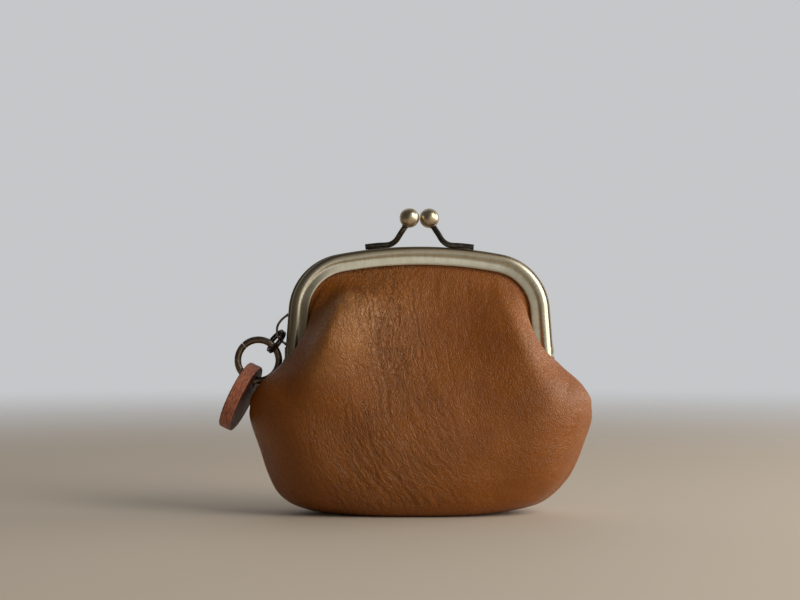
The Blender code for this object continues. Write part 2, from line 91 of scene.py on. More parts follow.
# Of each sheet: its thickness, its inset from the pouch's outside, its distance from the mating plane inside
# the channel, its rim's and its base's height, its columns, its rows below the rim and above it, and how
# many of those lie inside the channel.
LEATHER = (1, 0, 3.55, 46.2, 0, 322, 147, 99, 12)
LINING = (0.4, 2.2, 2.4, 44.8, 1.7, 120, 56, 36, 5)
LEATHER_TURN_Y, LINING_TURN_Y = 3, 2.2  # how far from the mating plane a point would turn fully with its half
SEAM_TOP_Z = 46  # the height that the side seam's groove and the full relief reach up to

# Side loop, rings and charm
LOOP_RADIUS, LOOP_Y, LOOP_TOP_Z, LOOP_BOTTOM_Z = 0.38, 2.3, 63.37, 54.09
RING_CENTRE, RING_RADIUS, RING_WIRE = Vector((-51.8, 1.88, 48.8)), 6.6, 1.12
RING_SEAM, RING_SEAM_ANGLE = 0.15, radians(133)
LINK_ANGLE, LINK_RADIUS, LINK_WIRE, LINK_PITCH, LINK_REACH = radians(46.18), 3.85, 0.42, 0.88, 1.743
LINK_AXIS, LINK_START = Vector((-0.725, -0.254, 0.616)), 2
CHARM_LEAN, CHARM_TURN, CHARM_RADIUS, CHARM_THICKNESS = radians(25.7), radians(7), 11.35, 3.9
CHARM_HOLE, CHARM_HOLE_OFFSET, CHARM_ROUNDING, CHARM_SIDES = 2, 6.35, 0.3, 200

# Stage, in metres: the floor's reach, fade and colour, the wall behind the purse, the dimmer room around it,
# the glow beside the window, the way to each, and of each lamp the place, target, size, watts and colour.
FLOOR_REACH, FLOOR_FADE, FLOOR_COLOUR = 1.1, (0.22, 0.9), (0.60, 0.50, 0.385, 1)
WALL, ROOM, GLOW = (0.56, 0.57, 0.585), (0.09, 0.088, 0.085), (0.62, 0.61, 0.59)
TO_WALL, TO_GLOW = (0.16, 0.98, 0), (0.77, -0.63, 0.1)
LAMPS = {
    "window": ((0.70, -0.42, 0.50), (0, 0, 0.06), (0.5, 0.7), 5.6, (1, 0.99, 0.965)),
    "side": ((0.75, 0.12, 0.22), (0, 0, 0.05), (0.6, 0.5), 3.2, (1, 1, 1)),
}
CAMERA, LENS, SENSOR = (-0.0062, -0.6064, 0.0682), 85, 36


def placed(name, data):
    """A new object in the scene."""
    made = bpy.data.objects.new(name, data)
    bpy.context.scene.collection.objects.link(made)
    return made


# ---- Node helpers: each but the first two finds its node tree from a socket that it is given ----


def add_node(tree, kind, inputs=None, **settings):
    made = tree.nodes.new("ShaderNode" + kind)
    for key, value in settings.items():
        setattr(made, key, value)
    for key, value in (inputs or {}).items():
        if isinstance(value, bpy.types.NodeSocket):
            tree.links.new(value, made.inputs[key])
        else:
            made.inputs[key].default_value = value
    return made


def attribute(tree, name, output="Vector"):
    return add_node(tree, "Attribute", attribute_name=name).outputs[output]


def stretched(vector, scale, shift=(0, 0, 0), turn=(0, 0, 0)):
    inputs = {"Vector": vector, "Scale": scale, "Location": shift, "Rotation": turn}
    return add_node(vector.id_data, "Mapping", inputs).outputs[0]


def warped(vector, warp, amount):
    inputs = {0: warp, 1: amount, 2: vector}
    return add_node(vector.id_data, "VectorMath", inputs, operation="MULTIPLY_ADD").outputs[0]


def noise_of(vector, scale, detail=3, roughness=0.55, distortion=0):
    made = add_node(vector.id_data, "TexNoise", {
        "Vector": vector, "Scale": scale, "Detail": detail, "Roughness": roughness, "Distortion": distortion})
    return made.outputs["Fac"]


def cells(vector, scale):
    """The distance to the nearest edge between scattered cells."""
    inputs = {"Vector": vector, "Scale": scale}
    return add_node(vector.id_data, "TexVoronoi", inputs, feature="DISTANCE_TO_EDGE").outputs["Distance"]


def ranged(value, low, high, to_low=0, to_high=1):
    """The value's place between low and high, eased at both ends."""
    inputs = {"Value": value, "From Min": low, "From Max": high, "To Min": to_low, "To Max": to_high}
    return add_node(value.id_data, "MapRange", inputs, interpolation_type="SMOOTHSTEP").outputs["Result"]


def math_of(operation, a, b=0):
    tree = (a if isinstance(a, bpy.types.NodeSocket) else b).id_data
    return add_node(tree, "Math", {0: a, 1: b}, operation=operation).outputs[0]


def times(a, b):
    return math_of("MULTIPLY", a, b)


def inverse(value):
    return math_of("SUBTRACT", 1, value)


def weighted(*terms, base=None):
    """The sum of (value, weight) terms and a base number."""
    total = None
    for value, weight in terms:
        scaled = times(value, weight)
        total = scaled if total is None else math_of("ADD", total, scaled)
    return total if base is None else math_of("ADD", total, base)


def veins(vector, width):
    """0 along the middle lines of a noise, rising to 1 at width from them."""
    field = noise_of(vector, 1, 2, 0.5)
    return ranged(math_of("ABSOLUTE", math_of("SUBTRACT", field, 0.5)), 0, width)


def mix(factor, a, b):
    a, b = (value if isinstance(value, bpy.types.NodeSocket) else (*value, 1) for value in (a, b))
    return add_node(factor.id_data, "Mix", {0: factor, 6: a, 7: b}, data_type="RGBA").outputs[2]


def new_material(name, **constants):
    """A material with one Principled shader, whose plain sockets are set here. Returns all three."""
    made = bpy.data.materials.new(name)
    made.use_nodes = True
    shader = made.node_tree.nodes["Principled BSDF"]
    for key, value in constants.items():
        shader.inputs[key.replace("_", " ")].default_value = value
    return made, made.node_tree, shader


def connect(shader, colour, roughness, height, distance):
    """Links the shader's colour, roughness and bump. distance is the bump's depth in millimetres."""
    links = shader.id_data.links
    links.new(colour, shader.inputs["Base Color"])
    if roughness is not None:
        links.new(roughness, shader.inputs["Roughness"])
    bump = add_node(shader.id_data, "Bump", {"Height": height, "Distance": distance * MM, "Strength": 1})
    links.new(bump.outputs[0], shader.inputs["Normal"])


# ---- Materials ----


def tan_leather():
    """Full-grain tan leather: warped pebbles, fine pores and creases that follow the flow attribute."""
    made, tree, shader = new_material(
        "purse_leather", IOR=1.5, Specular_IOR_Level=0.5, Specular_Tint=(1, 0.88, 0.7, 1))
    rest, flow = attribute(tree, "rest"), attribute(tree, "flow")
    mask = attribute(tree, "crease_share", "Fac")
    warp = add_node(tree, "TexNoise", {"Vector": rest, "Scale": 0.5, "Detail": 3}).outputs["Color"]
    bent, flow_bent = warped(rest, warp, (1.5, 1.5, 1.5)), warped(flow, warp, (2.4, 2.4, 0))

    pebble = ranged(cells(stretched(flow_bent, (1, 0.62, 1)), 1.15), 0, 0.2)
    fine = ranged(cells(bent, 2.6), 0, 0.22)
    pores = noise_of(rest, 7, 2)
    lines = veins(stretched(flow_bent, (0.62, 0.07, 1)), 0.055)
    small = veins(stretched(flow_bent, (1.25, 0.2, 1), (9, 3, 0)), 0.06)
    crease = weighted((lines, 0.65), (small, 0.35))
    crease = times(math_of("SUBTRACT", crease, 1), mask)
    lumps = noise_of(rest, 0.22, 3)
    height = weighted((pebble, 0.34), (fine, 0.16), (pores, 0.1), (crease, 1.9), (lumps, 1.2))

    cloud = ranged(noise_of(rest, 0.07, 4), 0.3, 0.7)
    speck = ranged(noise_of(rest, 1.1, 4), 0.35, 0.7)
    tone = weighted((cloud, 0.55), (speck, 0.3))
    colour = mix(tone, (0.226, 0.057, 0.002), (0.332, 0.092, 0.004))
    sheen_pullup = attribute(tree, "wear", "Fac")
    # Lighter on the broad ridges and in the creased patch below the clasp: partly the leather's own pull-up,
    # partly a painted sheen.
    colour = mix(weighted((sheen_pullup, 0.5), (mask, 0.22)), colour, (0.46, 0.205, 0.06))
    groove = inverse(pebble)
    colour = mix(times(groove, 0.35), colour, (0.17, 0.046, 0.003))
    # Painted shade in the creases.
    colour = mix(times(crease, -0.4), colour, (0.17, 0.047, 0.003))
    # Painted shade in the fold grooves and a painted shadow along the frame's edge, read from the groove
    # attribute.
    colour = mix(times(attribute(tree, "groove", "Fac"), 0.55), colour, (0.14, 0.036, 0.003))
    roughness = weighted((cloud, -0.05), (groove, 0.12), (speck, 0.05), (sheen_pullup, -0.05), base=0.3)
    connect(shader, colour, roughness, height, 0.16)
    return made


def flesh_leather():
    """The leather's suede-like inner side and cut edges."""
    made, tree, shader = new_material("leather_flesh_side", Sheen_Weight=0.3, Sheen_Roughness=0.6)
    fibre = noise_of(attribute(tree, "rest"), 3.5, 5, 0.7)
    colour = mix(ranged(fibre, 0.3, 0.75), (0.30, 0.135, 0.045), (0.52, 0.30, 0.13))
    connect(shader, colour, ranged(fibre, 0.2, 0.8, 0.8, 0.95), fibre, 0.2)
    return made


def satin_brass():
    """Antique brass, brushed across the band, with patina in clouds and in hidden parts, and a painted dark
    reflection and painted shade read from the patina attribute.
    """
    made, tree, shader = new_material("satin_antique_brass", Metallic=1, Anisotropic=0.85)
    band, rest = attribute(tree, "band"), attribute(tree, "rest")
    brush = noise_of(stretched(band, (5.5, 0.22, 1)), 1, 4, 0.65)
    broad = noise_of(stretched(band, (0.5, 0.12, 1)), 1, 3)
    patina = ranged(noise_of(rest, 0.35, 5, 0.65), 0.35, 0.75)
    edge = attribute(tree, "patina", "Fac")
    colour = mix(ranged(brush, 0.3, 0.7), (0.62, 0.57, 0.43), (0.80, 0.75, 0.59))
    colour = mix(times(patina, 0.3), colour, (0.46, 0.40, 0.27))
    # Darker from the patina attribute: patina in the hidden parts, painted dark reflection on the crown's bead
    # and painted shade low on the left leg.
    colour = mix(edge, colour, (0.17, 0.12, 0.062))
    roughness = weighted((brush, 0.14), (broad, 0.08), (edge, 0.1), base=0.34)
    connect(shader, colour, roughness, brush, 0.012)
    tangent = add_node(tree, "Tangent", direction_type="UV_MAP", uv_map="band_map")
    tree.links.new(tangent.outputs[0], shader.inputs["Tangent"])
    return made


def wire_bronze(name, light, dark, roughness):
    """Oxidised bronze wire, rubbed lighter in patches."""
    made, tree, shader = new_material(name, Metallic=1)
    rest = attribute(tree, "rest")
    cloud = noise_of(rest, 0.7, 5, 0.65)
    grit = noise_of(rest, 6, 3, 0.7)
    rubbed = ranged(weighted((cloud, 0.7), (grit, 0.3)), 0.42, 0.66)
    colour = mix(rubbed, dark, light)
    rough = weighted((grit, 0.2), (rubbed, -0.08), base=roughness)
    connect(shader, colour, rough, weighted((grit, 1), (cloud, 0.6)), 0.008)
    return made


def ball_brass():
    """Polished antique brass with faint scratches and darker clouds."""
    made, tree, shader = new_material("ball_brass", Metallic=1)
    rest = attribute(tree, "rest")
    cloud = ranged(noise_of(rest, 0.55, 5, 0.6), 0.35, 0.7)
    scratch = noise_of(stretched(rest, (1, 9, 5), turn=(0.3, 0.5, 0.2)), 1, 4, 0.7)
    colour = mix(cloud, (0.42, 0.33, 0.21), (0.68, 0.58, 0.41))
    colour = mix(attribute(tree, "patina", "Fac"), colour, (0.10, 0.065, 0.035))
    connect(shader, colour, weighted((cloud, -0.06), (scratch, 0.16), base=0.27), scratch, 0.006)
    return made


def charm_grain():
    """The charm's burnished grain side."""
    made, tree, shader = new_material("charm_grain_side", IOR=1.5, Specular_IOR_Level=0.22)
    rest = attribute(tree, "rest")
    pebble = ranged(cells(rest, 1.7), 0, 0.25)
    cloud = noise_of(rest, 0.3, 4)
    colour = mix(ranged(cloud, 0.3, 0.7), (0.05, 0.014, 0.009), (0.11, 0.031, 0.016))
    connect(shader, colour, ranged(pebble, 0, 1, 0.6, 0.45), pebble, 0.1)
    return made


def charm_edge():
    """The charm's cut edge: layered russet fibres, pale where they are broken."""
    made, tree, shader = new_material("charm_cut_edge", Sheen_Weight=0.25, Sheen_Roughness=0.5)
    around = attribute(tree, "around")
    layer = noise_of(stretched(around, (0.45, 1.6, 1)), 1, 6, 0.75, 0.6)
    fleck = noise_of(stretched(around, (1.4, 3.8, 1), (5, 2, 0)), 1, 5, 0.8)
    colour = mix(ranged(layer, 0.35, 0.65), (0.24, 0.06, 0.028), (0.60, 0.19, 0.085))
    colour = mix(ranged(fleck, 0.56, 0.7), colour, (0.78, 0.40, 0.22))
    colour = mix(attribute(tree, "burnish", "Fac"), colour, (0.075, 0.022, 0.012))
    connect(shader, colour, ranged(layer, 0.3, 0.7, 0.85, 0.6), weighted((layer, 1), (fleck, 0.5)), 0.35)
    return made


def cotton_lining():
    """Plain-weave cotton: two crossed sets of threads with slubs."""
    made, tree, shader = new_material("lining_cotton", Roughness=0.92, Sheen_Weight=0.35, Sheen_Roughness=0.5)
    cloth = attribute(tree, "cloth")
    wave = {"Vector": cloth, "Scale": 0.75, "Distortion": 0.6, "Detail": 1}
    warp, weft = (add_node(tree, "TexWave", wave, bands_direction=way).outputs["Fac"] for way in "XY")
    slub = noise_of(stretched(cloth, (0.25, 2.5, 1)), 1, 3)
    check = add_node(tree, "TexChecker", {"Vector": cloth, "Scale": 4.8}).outputs["Fac"]
    thread = math_of("ADD", times(warp, check), times(weft, inverse(check)))
    colour = mix(ranged(slub, 0.3, 0.7), (0.50, 0.41, 0.28), (0.66, 0.57, 0.42))
    colour = mix(times(inverse(thread), 0.45), colour, (0.30, 0.23, 0.14))
    connect(shader, colour, None, thread, 0.1)
    return made


def kraft_paper():
    """Twisted kraft paper, its strands read from the strand attribute."""
    made, tree, shader = new_material("kraft_paper", Roughness=0.9)
    fibre = noise_of(attribute(tree, "rest"), 5, 4, 0.7)
    colour = mix(ranged(fibre, 0.3, 0.7), (0.36, 0.25, 0.14), (0.52, 0.39, 0.24))
    colour = mix(times(inverse(attribute(tree, "strand", "Fac")), 0.5), colour, (0.16, 0.10, 0.05))
    connect(shader, colour, None, fibre, 0.05)
    return made


# ---- Mesh helpers ----


def grid_faces(rows, columns, wrap=False, wrap_rows=False, start=0):
    """Quads over a grid of rows x columns points, counted row by row from start."""
    faces = []
    for r in range(rows if wrap_rows else rows - 1):
        low, high = start + r * columns, start + (r + 1) % rows * columns
        for c in range(columns if wrap else columns - 1):
            after = (c + 1) % columns
            faces.append((low + c, low + after, high + after, high + c))
    return faces


def piece(name, points, faces, materials, body, stands_for, slot, faces_material=None, sharp=None, **fields):
    """A mesh piece from points in millimetres. fields are mesh attributes with one row a point."""
    points = np.asarray(points, float)
    mesh = bpy.data.meshes.new(name)
    mesh.from_pydata((points * MM).tolist(), [], faces)
    for item in materials:
        mesh.materials.append(item)
    if faces_material is not None:
        mesh.polygons.foreach_set("material_index", np.asarray(faces_material, np.int32))
    for key, values in {"rest": points, **fields}.items():
        values = np.asarray(values, np.float32)
        kind, where = ("FLOAT_VECTOR", "vector") if values.ndim == 2 else ("FLOAT", "value")
        mesh.attributes.new(key, kind, "POINT").data.foreach_set(where, values.ravel())
    mesh.shade_smooth()
    if sharp:
        mesh.set_sharp_from_angle(angle=radians(sharp))
    mesh.validate()
    obj = placed(name, mesh)
    if isinstance(body, str):
        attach(obj, body)
    else:
        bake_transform(obj)
    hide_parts(*stands_for)
    return obj


def eased(values, low, high):
    """0 up to low, 1 from high, and eased between them."""
    t = np.clip((np.asarray(values, float) - low) / (high - low), 0, 1)
    return t * t * (3 - 2 * t)


def through(xs, ys, at):
    """A smooth curve through points, without overshoot: ys holds one row a point."""
    step = np.diff(xs)[:, None]
    slope = np.diff(ys, axis=0) / step
    same = slope[:-1] * slope[1:] > 0
    total = np.where(same, slope[:-1] + slope[1:], 1)
    inner = np.where(same, 2 * slope[:-1] * slope[1:] / total, 0)
    tangent = np.vstack([slope[:1], inner, slope[-1:]])
    i = np.clip(np.searchsorted(xs, at, side="right") - 1, 0, len(xs) - 2)
    h = step[i]
    t = ((at - xs[i]) / step[i, 0])[:, None]
    return ((1 + 2 * t) * (1 - t) ** 2 * ys[i] + t * (1 - t) ** 2 * h * tangent[i]
            + t * t * (3 - 2 * t) * ys[i + 1] + t * t * (t - 1) * h * tangent[i + 1])


def scattered(ix, iy, seed):
    """A repeatable pseudo-random number from 0 to 1 for each pair of whole numbers."""
    n = (ix.astype(np.int64) * 374761393 + iy.astype(np.int64) * 668265263 + seed * 974711) & 0xFFFFFFFF
    n = ((n ^ (n >> 13)) * 1274126177) & 0xFFFFFFFF
    n = ((n ^ (n >> 15)) * 2246822519) & 0xFFFFFFFF
    return (n ^ (n >> 16)) / 4294967296


def soft_noise(u, v, seed):
    """Smooth noise from -1 to 1 over two coordinates."""
    iu, iv = np.floor(u), np.floor(v)
    fu, fv = u - iu, v - iv
    fu, fv = fu * fu * (3 - 2 * fu), fv * fv * (3 - 2 * fv)
    low = scattered(iu, iv, seed) * (1 - fu) + scattered(iu + 1, iv, seed) * fu
    high = scattered(iu, iv + 1, seed) * (1 - fu) + scattered(iu + 1, iv + 1, seed) * fu
    return 2 * (low * (1 - fv) + high * fv) - 1


def cell_gap(u, v, seed):
    """0 on the lines between scattered cells, rising towards the middle of each."""
    iu, iv = np.floor(u), np.floor(v)
    nearest, second = np.full(u.shape, 9), np.full(u.shape, 9)
    for du in (-1, 0, 1):
        for dv in (-1, 0, 1):
            cu, cv = iu + du, iv + dv
            away = np.hypot(cu + scattered(cu, cv, seed) - u, cv + scattered(cu, cv, seed + 1) - v)
            second = np.minimum(second, np.maximum(nearest, away))
            nearest = np.minimum(nearest, away)
    return second - nearest


def route_through(points, steps):
    """Points along a Catmull-Rom curve through the given ones."""
    p = np.asarray(points, float)
    p = np.vstack([2 * p[0] - p[1], p, 2 * p[-1] - p[-2]])
    route = []
    for a, b, c, d in zip(p, p[1:], p[2:], p[3:]):
        for i in range(steps):
            t = i / steps
            bend = (2 * a - 5 * b + 4 * c - d) * t * t + (3 * b - a - 3 * c + d) * t**3
            route.append((2 * b + (c - a) * t + bend) / 2)
    return np.array([*route, p[-2]])


def distances(points):
    """How far along a polyline each of its points is."""
    return np.r_[0, np.cumsum(np.linalg.norm(np.diff(points, axis=0), axis=1))]


def evenly(points, count):
    """count points at equal distances along a polyline."""
    points = np.asarray(points, float)
    at = distances(points)
    want = np.linspace(0, at[-1], count)
    return np.stack([np.interp(want, at, points[:, k]) for k in range(points.shape[1])], axis=1)


def carried_frames(route):
    """Two unit vectors across the route at each point, carried along it without twist."""
    tangents = np.gradient(route, axis=0)
    tangents /= np.linalg.norm(tangents, axis=1)[:, None]
    side = np.cross(tangents[0], (0.3, 0.2, 1))
    sides = []
    for t in tangents:
        side = side - t * side.dot(t)
        side = side / np.linalg.norm(side)
        sides.append(side)
    sides = np.array(sides)
    return sides, np.cross(tangents, sides)


def tube(route, radius, sides, bevel=0):
    """A round tube of one radius or one a point, with flat ends and a small bevel."""
    route = np.asarray(route, float)
    radii = np.broadcast_to(radius, len(route))
    a, b = carried_frames(route)
    lead, tail = route[1] - route[0], route[-1] - route[-2]
    lead, tail = lead / np.linalg.norm(lead), tail / np.linalg.norm(tail)
    first, last = route[0], route[-1]
    route = np.vstack([first, first, first + lead * bevel, route[1:-1], last - tail * bevel, last, last])
    a, b = (np.vstack([v[:1]] * 3 + [v[1:-1]] + [v[-1:]] * 3) for v in (a, b))
    radii = np.r_[TIP, radii[0] - bevel, radii[0], radii[1:-1], radii[-1], radii[-1] - bevel, TIP]
    turn = np.linspace(0, tau, sides, endpoint=False)
    ring = np.cos(turn)[None, :, None] * a[:, None, :] + np.sin(turn)[None, :, None] * b[:, None, :]
    points = (route[:, None, :] + ring * radii[:, None, None]).reshape(-1, 3)
    return points, grid_faces(len(route), sides, wrap=True)


def joined(*parts):
    """Several (points, faces) as one."""
    points, faces = [], []
    for more, more_faces in parts:
        faces += [tuple(len(points) + i for i in face) for face in more_faces]
        points.extend(more)
    return np.array(points), faces


def turned(profile, origin, axis, sides):
    """A lathed shape: profile holds (distance along the axis, radius) from end to end."""
    axis = Vector(axis).normalized()
    across = axis.orthogonal().normalized()
    other = axis.cross(across)
    points = []
    for along, radius in profile:
        for i in range(sides):
            a = tau * i / sides
            out = across * cos(a) + other * sin(a)
            points.append(Vector(origin) + axis * along + out * radius)
    return np.array(points), grid_faces(len(profile), sides, wrap=True)


# ---- Frame ----


def arch(leg_end_z, outset=0, rise=0, top_steps=48, corner_steps=26, leg_steps=14):
    """Stations along a half's outer edge, left leg to right leg: rows of x, z, inward x, inward z."""
    top = np.array((0, TOP_Z + rise - TOP_RADIUS))
    out = np.array((cos(LEG_FLARE), sin(LEG_FLARE)))
    along = np.array((-out[1], out[0]))
    q = out * (out[0] * (LEG_X + outset) + out[1] * LEG_REF_Z - CORNER_RADIUS) - top
    dot = q @ along
    corner = top + q + along * (-dot + sqrt(dot * dot - q @ q + (TOP_RADIUS - CORNER_RADIUS) ** 2))
    turn = atan2(corner[0] - top[0], corner[1] - top[1])
    leg_turn = pi / 2 - LEG_FLARE
    rows = [(sin(a) * TOP_RADIUS, top[1] + cos(a) * TOP_RADIUS, a)
            for a in np.linspace(0, turn, top_steps + 1)]
    rows += [(corner[0] + sin(a) * CORNER_RADIUS, corner[1] + cos(a) * CORNER_RADIUS, a)
             for a in np.linspace(turn, leg_turn, corner_steps + 1)[1:]]
    x0, z0, _ = rows[-1]
    rows += [(x0 + (z0 - z) * tan(LEG_FLARE), z, leg_turn)
             for z in np.linspace(z0, leg_end_z, leg_steps + 1)[1:]]
    right = np.array([(x, z, -sin(a), -cos(a)) for x, z, a in rows])
    left = right[:0:-1] * (-1, 1, -1, 1)
    return np.vstack([left, right])


def arc(centre, radius, start, end, steps):
    return [(centre[0] + radius * cos(a), centre[1] + radius * sin(a))
            for a in np.linspace(start, end, steps + 1)]


def channel_profile():
    """The channel's section with its rolled bead, the small step inside it and the slightly dished face."""
    face = DEPTH - 0.06
    outer = [(LIP, 0.04), (LIP - 0.1, 0), (0.35, 0), (0.1, 0.08), (0, 0.3), (0, 1.6), (0.02, 2.5)]
    rolled = [(BEAD_WIDTH * (1 - cos(a)), DEPTH - BEAD_HEIGHT + BEAD_HEIGHT * sin(a))
              for a in np.linspace(0, pi / 2, 12)[1:]]
    step = [(BEAD_WIDTH + t, DEPTH - (DISH + 0.06) * (1 - cos(pi * t)) / 2)
            for t in (0.2, 0.4, 0.6, 0.8, 1)]
    dished = [(3.1 + (BAND - 3.35) * t, face - DISH * (1 - t) ** 1.3) for t in (0.2, 0.4, 0.6, 0.8)]
    edge = [(BAND - 0.25, face), (BAND - 0.08, face - 0.06), (BAND, face - 0.22), (BAND, DEPTH - SHEET)]
    inner = [(2, DEPTH - SHEET - DISH), (1.02, DEPTH - 1.6), (SHEET, 2.4), (SHEET, SHEET), (LIP, SHEET)]
    return np.array(outer + rolled + step + dished + edge + inner)


def ear_plate(x, facing):
    """A hinge ear: a round plate with a neck up into the leg, and its rivet hole."""
    around = arc((0, 0), EAR_RADIUS, pi / 2, -pi, 40)
    outline = [(-0.5, EAR_TOP_Z - HINGE_Z), *around, (-2.7, 2.2), (-2.7, EAR_TOP_Z - HINGE_Z)]
    outline = evenly(outline + outline[:1], 73)[:-1]
    angles = np.arctan2(outline[:, 1], outline[:, 0])
    hole = np.stack([np.cos(angles), np.sin(angles)], axis=1) * RIVET_HOLE
    half, soft = SHEET / 2, 0.08
    rings = [(hole, -half), (outline * 0.95, -half), (outline * 0.985, -half), (outline, -half + soft),
             (outline, half - soft), (outline * 0.985, half), (outline * 0.95, half), (hole, half)]
    points = np.vstack([np.column_stack([np.full(len(r), x + d), r[:, 0] * facing, r[:, 1] + HINGE_Z])
                        for r, d in rings])
    return points, grid_faces(len(rings), len(outline), wrap=True, wrap_rows=True)


def frame_patina_and_shade(profile, stations):
    """How dark the brass is: patina in the channel's hidden parts, a painted dark reflection on the crown's
    bead with a thin painted dark line inside it, less of both on the left leg and almost none on the right
    leg, where the light falls, and painted shade low on the left leg.
    """
    (across, depth), (_, z, inward, _) = profile.T, stations.T
    front = depth > 2.6
    # Painted dark reflection on the crown's bead, with a thin painted dark line inside it.
    line = 0.1 * np.exp(-(((across - 2.6) / 0.35) ** 2)) * (depth > 3.5)
    bead = 0.85 * (1 - eased(across, 0.7, 2.9)) * front
    hidden = 0.5 * (depth < 0.9) + 0.35 * ((across < 0.9) & ~front)
    # Less of the painted dark reflection on the legs: almost none on the right leg, which faces the light, and
    # half as much on the left.
    rubbed = 1 - 0.95 * eased(-inward, 0.25, 0.8) - 0.5 * eased(inward, 0.3, 0.9)
    # Painted shade low on the left leg, which faces away from the light.
    low_left = eased(inward, 0.75, 0.98) * eased(80 - z, 4, 18)
    dark = 0.62 * low_left[:, None] * (0.5 + 0.5 * eased(across, 2, 4)) * front
    return np.clip(rubbed[:, None] * (bead + line) + hidden + dark, 0, 1).ravel()


def frame_half(facing, brass):
    """One half of the frame, swept along the arch, with both ears."""
    half, outset, rise = HALVES[facing]
    stations, profile = arch(LEG_END_Z, outset, rise), channel_profile()
    x, z = (stations[:, None, i] + stations[:, None, i + 2] * profile[:, 0] for i in (0, 1))
    y = np.broadcast_to(-facing * (GAP / 2 + profile[:, 1]), x.shape)
    points = np.stack([x, y, z], axis=2).reshape(-1, 3)
    sections, count = x.shape
    faces = grid_faces(sections, count, wrap=True)
    faces += [tuple(range(count)), tuple(range((sections - 1) * count, sections * count))[::-1]]
    if facing < 0:
        faces = [f[::-1] for f in faces]
    run, across = np.meshgrid(distances(stations[:, :2]), distances(profile), indexing="ij")
    band = np.stack([run, across, np.zeros(x.shape)], axis=2).reshape(-1, 3)
    points, faces = joined((points, faces), *(ear_plate(side * EAR_X[half], facing) for side in (-1, 1)))
    band = np.vstack([band, points[len(band):, [1, 2, 0]]])
    patina = frame_patina_and_shade(profile, stations)
    patina = np.r_[patina, np.full(len(points) - len(patina), EAR_PATINA)]
    made = piece(f"{half}_frame_channel", points, faces, [brass], half + "_half", [half + "_frame"],
                 "antique_brass", sharp=48, band=band, patina=patina)
    layer = made.data.uv_layers.new(name="band_map")
    corners = np.zeros(len(made.data.loops), np.int32)
    made.data.loops.foreach_get("vertex_index", corners)
    layer.data.foreach_set("uv", (band[corners, :2] * 0.01).astype(np.float32).ravel())


def rivet(name, side, bronze):
    """A domed rivet through both ears."""
    inner = EAR_X["front"] - SHEET / 2 - RUNNING_GAP
    outer = EAR_X["back"] + SHEET / 2 + RUNNING_GAP
    tail_radius = RIVET_HEAD_RADIUS * 0.88
    dome = [(outer + 0.05 + RIVET_HEAD * cos(a) * 0.9, RIVET_HEAD_RADIUS * sin(a) + TIP / 2)
            for a in np.linspace(0, pi / 2, 9)]
    tail = [(inner - 0.05 - RIVET_HEAD * 0.72 * cos(a), tail_radius * sin(a) + TIP / 2)
            for a in np.linspace(pi / 2, 0, 9)]
    profile = [*dome, (outer, RIVET_HEAD_RADIUS), (outer, RIVET_RADIUS), (inner, RIVET_RADIUS),
               (inner, tail_radius), *tail]
    shape = turned(profile, (0, 0, HINGE_Z), (side, 0, 0), 32)
    piece(name + "_domed", *shape, [bronze], "back_half", [name], "dark_brass", sharp=50)


def paper_cord(facing, paper):
    """Three twisted strands of kraft paper, wedged in the channel."""
    half, outset, rise = HALVES[facing]
    stations = arch(LEG_END_Z + 2, outset, rise, 150, 90, 60)
    x, z = (stations[:, i] + stations[:, i + 2] * CORD_INSET for i in (0, 1))
    points, faces = tube(np.column_stack([x, np.full(len(x), -facing * CORD_Y), z]), CORD_RADIUS, CORD_SIDES)
    rings = points.reshape(-1, CORD_SIDES, 3)
    turn = np.tile(np.linspace(0, tau, CORD_SIDES, endpoint=False), len(rings))
    along = np.repeat(np.arange(len(rings)), CORD_SIDES) * CORD_RADIUS
    strand = np.abs(np.cos(1.5 * (turn + along * CORD_PITCH)))
    centre = np.repeat(rings.mean(axis=1), CORD_SIDES, axis=0)
    points = centre + (points - centre) * (0.82 + 0.18 * strand)[:, None]
    piece(f"{half}_paper_cord_twist", points, faces, [paper], half + "_half", [half + "_paper_cord"],
          "paper_cord", strand=strand)


# ---- Clasp ----


def crown(x, rise):
    """The height of the frame's top at x."""
    return TOP_Z + rise - TOP_RADIUS + sqrt(TOP_RADIUS**2 - x * x)


